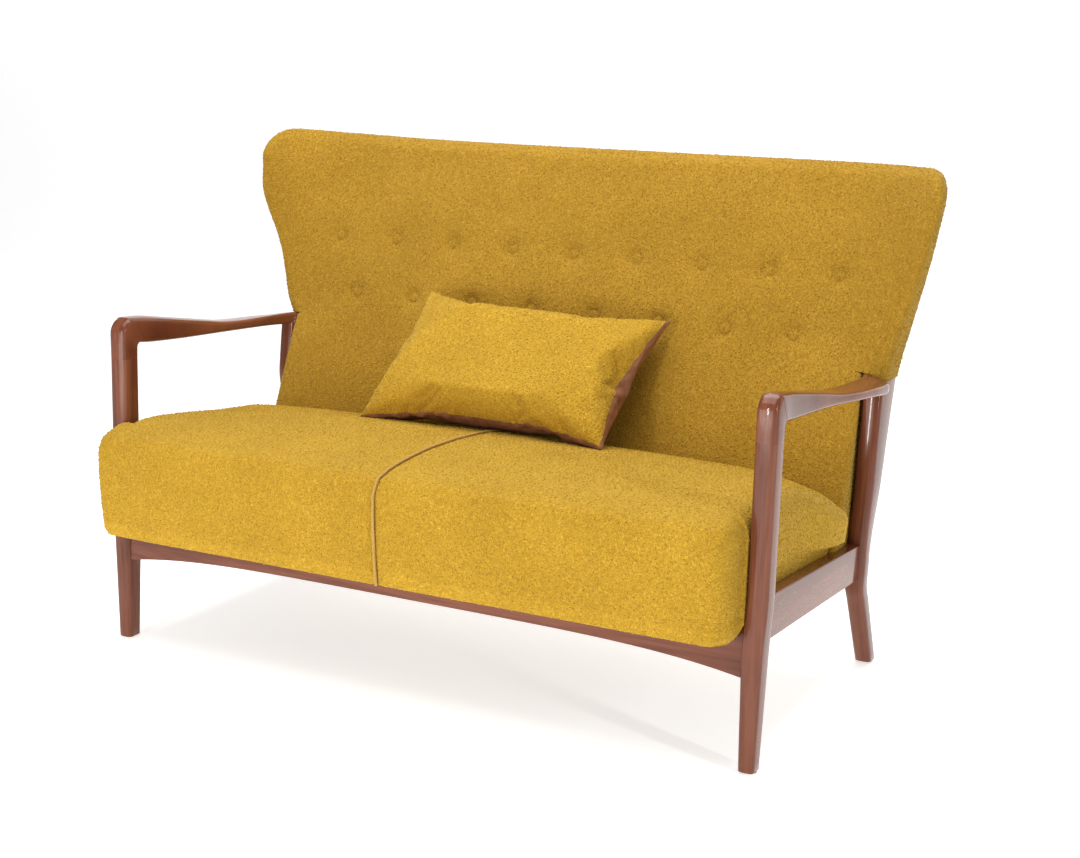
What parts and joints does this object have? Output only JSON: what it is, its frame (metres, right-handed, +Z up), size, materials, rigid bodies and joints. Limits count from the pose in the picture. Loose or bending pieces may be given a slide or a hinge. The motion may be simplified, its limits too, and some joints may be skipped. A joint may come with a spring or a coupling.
{
  "type": "two-seater sofa",
  "caption": "Wing-back sofa with a stained show-wood frame, sculpted armrests, a sprung and upholstered seat, a buttoned back and a loose scatter cushion.",
  "frame": {"origin": "on the floor, below the middle of the sofa's box", "axes": "+X along the sofa to the right of someone facing it, +Y from its front to its back, +Z up"},
  "size_m": [1.4416, 0.8104, 0.9333],
  "materials": {
    "show_wood": "reddish-brown stain under semi-gloss lacquer, worn at the edges",
    "frame_wood": "plain planed softwood and beech, no finish",
    "boucle": "mustard-yellow looped wool, matt and fuzzy",
    "leather": "reddish-brown, soft and slightly worn",
    "piping_cord": "tan covered cord",
    "jute": "woven jute, matt",
    "padding": "wadding and hair, hidden",
    "dust_cloth": "thin black cloth",
    "steel": "plain drawn wire and zinc-plated screws",
    "glide_plastic": "pale nylon"
  },
  "bodies": {
    "sofa": {"arm_front_dowel_left": "frame_wood", "arm_front_dowel_right": "frame_wood", "arm_rear_dowel_left": "frame_wood", "arm_rear_dowel_right": "frame_wood", "armrest_left": "show_wood", "armrest_right": "show_wood", "back_bolt_lower_left": "steel", "back_bolt_lower_right": "steel", "back_bolt_upper_left": "steel", "back_bolt_upper_right": "steel", "back_bottom_rail": "frame_wood", "back_cover": "boucle", "back_middle_rail": "frame_wood", "back_outside_cover": "boucle", "back_padding": "padding", "back_stile_left": "frame_wood", "back_stile_right": "frame_wood", "back_top_rail": "frame_wood", "back_webbing": "jute", "button_row_lower": "boucle", "button_row_upper": "boucle", "corner_block_front_left": "frame_wood", "corner_block_front_right": "frame_wood", "corner_block_rear_left": "frame_wood", "corner_block_rear_right": "frame_wood", "foot_glide_front_left": "glide_plastic", "foot_glide_front_right": "glide_plastic", "foot_glide_rear_left": "glide_plastic", "foot_glide_rear_right": "glide_plastic", "front_leg_left": "show_wood", "front_leg_right": "show_wood", "front_rail": "show_wood", "rear_leg_left": "show_wood", "rear_leg_right": "show_wood", "rear_rail": "show_wood", "seat_cleat_left": "frame_wood", "seat_cleat_right": "frame_wood", "seat_cover": "boucle", "seat_dust_cover": "dust_cloth", "seat_frame_back": "frame_wood", "seat_frame_bearer": "frame_wood", "seat_frame_front": "frame_wood", "seat_frame_left": "frame_wood", "seat_frame_right": "frame_wood", "seat_hessian": "jute", "seat_padding": "padding", "seat_piping": "piping_cord", "seat_screw_front_left": "steel", "seat_screw_front_right": "steel", "seat_screw_rear_left": "steel", "seat_screw_rear_right": "steel", "seat_springs": "steel", "seat_webbing": "jute", "side_rail_left": "show_wood", "side_rail_right": "show_wood", "wing_former_left": "frame_wood", "wing_former_right": "frame_wood"},
    "scatter_cushion": {"cushion_front_cover": "boucle", "cushion_back_cover": "leather", "cushion_filling": "padding"}
  },
  "joints": [
    {"name": "cushion_lift", "type": "slide", "parent": "sofa", "child": "scatter_cushion", "axis": [0, 0, 1], "range_m": [0, 0.55]}
  ]
}
